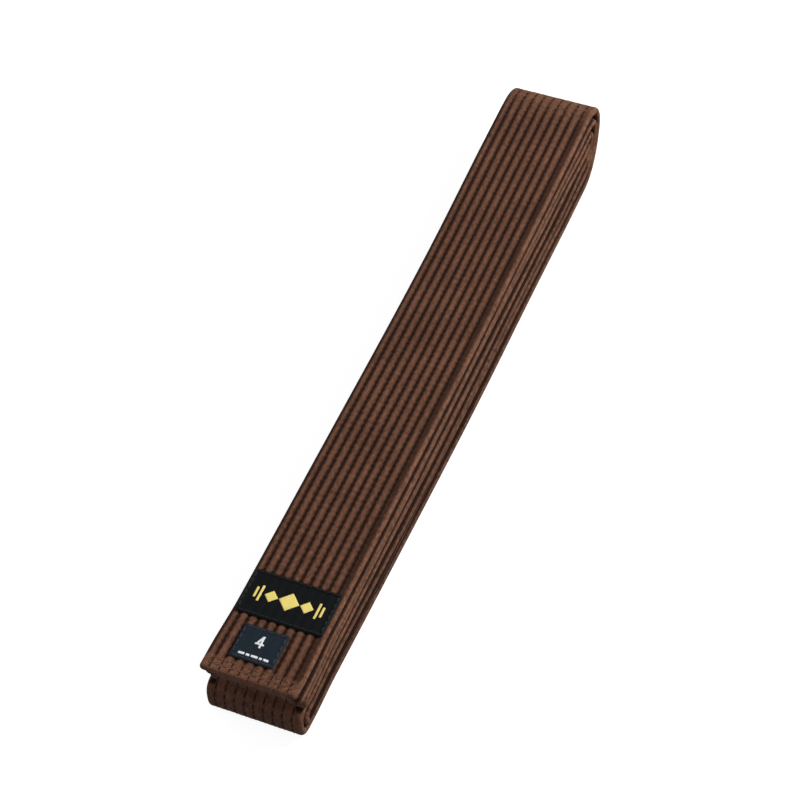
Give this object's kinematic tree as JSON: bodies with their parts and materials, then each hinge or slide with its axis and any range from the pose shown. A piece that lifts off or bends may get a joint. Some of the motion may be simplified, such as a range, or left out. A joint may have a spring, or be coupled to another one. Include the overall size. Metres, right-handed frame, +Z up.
{
  "type": "martial arts belt",
  "caption": "Quilted cotton martial arts belt folded into a flat packet, with a woven label and a size tag at one end; the packet opens and both ends lift.",
  "frame": {"origin": "middle of the packet's underside, on the surface it lies on", "axes": "+X across the belt, +Y along the packet towards the end with the four nested folds, +Z up; the labelled end is at -Y"},
  "size_m": [0.04, 0.35, 0.0356],
  "materials": {
    "cover_cloth": "dyed cotton drill, matt, fine diagonal weave",
    "batting_core": "undyed cotton batting, soft and matt",
    "quilting_thread": "brown polyester-cotton lockstitch thread",
    "label_cloth": "black damask woven label",
    "gold_thread": "old gold satin weft",
    "black_thread": "black sewing thread",
    "tag_cloth": "slate woven tape",
    "white_thread": "white satin weft",
    "tag_thread": "slate sewing thread"
  },
  "bodies": {
    "upper_stack": {"core_far_folds": "batting_core", "core_near_fold_upper": "batting_core", "core_run_1_far": "batting_core", "core_run_2_far": "batting_core", "core_run_3": "batting_core", "core_run_4": "batting_core", "cover_far_fold_1_8": "cover_cloth", "cover_far_fold_2_7": "cover_cloth", "cover_far_fold_3_6": "cover_cloth", "cover_far_fold_4_5": "cover_cloth", "cover_near_fold_upper": "cover_cloth", "cover_run_1_far": "cover_cloth", "cover_run_2_far": "cover_cloth", "cover_run_3": "cover_cloth", "cover_run_4": "cover_cloth", "stitching_far_folds": "quilting_thread", "stitching_near_fold_upper": "quilting_thread", "stitching_upper_runs": "quilting_thread"},
    "label_end": {"core_label_bend": "batting_core", "core_label_end": "batting_core", "cover_label_bend": "cover_cloth", "cover_label_end": "cover_cloth", "label_end_closing_stitches": "quilting_thread", "label_motif": "gold_thread", "label_stitching": "black_thread", "size_numeral": "white_thread", "size_tag": "tag_cloth", "size_tag_bars": "white_thread", "size_tag_stitching": "tag_thread", "stitching_label_bend": "quilting_thread", "stitching_label_end": "quilting_thread", "woven_label": "label_cloth"},
    "lower_stack": {"core_near_folds_lower": "batting_core", "core_run_5": "batting_core", "core_run_6": "batting_core", "core_run_7": "batting_core", "core_run_8": "batting_core", "cover_near_fold_inner": "cover_cloth", "cover_near_fold_outer": "cover_cloth", "cover_run_5": "cover_cloth", "cover_run_6": "cover_cloth", "cover_run_7": "cover_cloth", "cover_run_8": "cover_cloth", "stitching_lower_runs": "quilting_thread", "stitching_near_folds_lower": "quilting_thread"},
    "plain_end": {"core_plain_bend": "batting_core", "core_plain_end": "batting_core", "core_run_1_middle": "batting_core", "cover_plain_bend_run_1": "cover_cloth", "cover_plain_bend_run_2": "cover_cloth", "cover_plain_end": "cover_cloth", "cover_run_1_middle": "cover_cloth", "plain_end_closing_stitches": "quilting_thread", "stitching_plain_bend": "quilting_thread", "stitching_plain_end": "quilting_thread"}
  },
  "joints": [
    {"name": "packet_open", "type": "hinge", "parent": "lower_stack", "child": "upper_stack", "pos_m": [0, 0.15755, 0.01745], "axis": [-1, 0, 0], "range_deg": [0, 90], "deforming": ["core_far_folds", "cover_far_fold_1_8", "cover_far_fold_2_7", "cover_far_fold_3_6", "cover_far_fold_4_5", "stitching_far_folds"]},
    {"name": "plain_end_lift", "type": "hinge", "parent": "upper_stack", "child": "plain_end", "pos_m": [0, -0.021, 0.0349], "axis": [-1, 0, 0], "range_deg": [0, 45], "deforming": ["core_plain_bend", "cover_plain_bend_run_1", "cover_plain_bend_run_2", "stitching_plain_bend"]},
    {"name": "label_end_lift", "type": "hinge", "parent": "plain_end", "child": "label_end", "pos_m": [0, -0.081, 0.0349], "axis": [-1, 0, 0], "range_deg": [0, 70], "deforming": ["core_label_bend", "cover_label_bend", "stitching_label_bend"]}
  ]
}
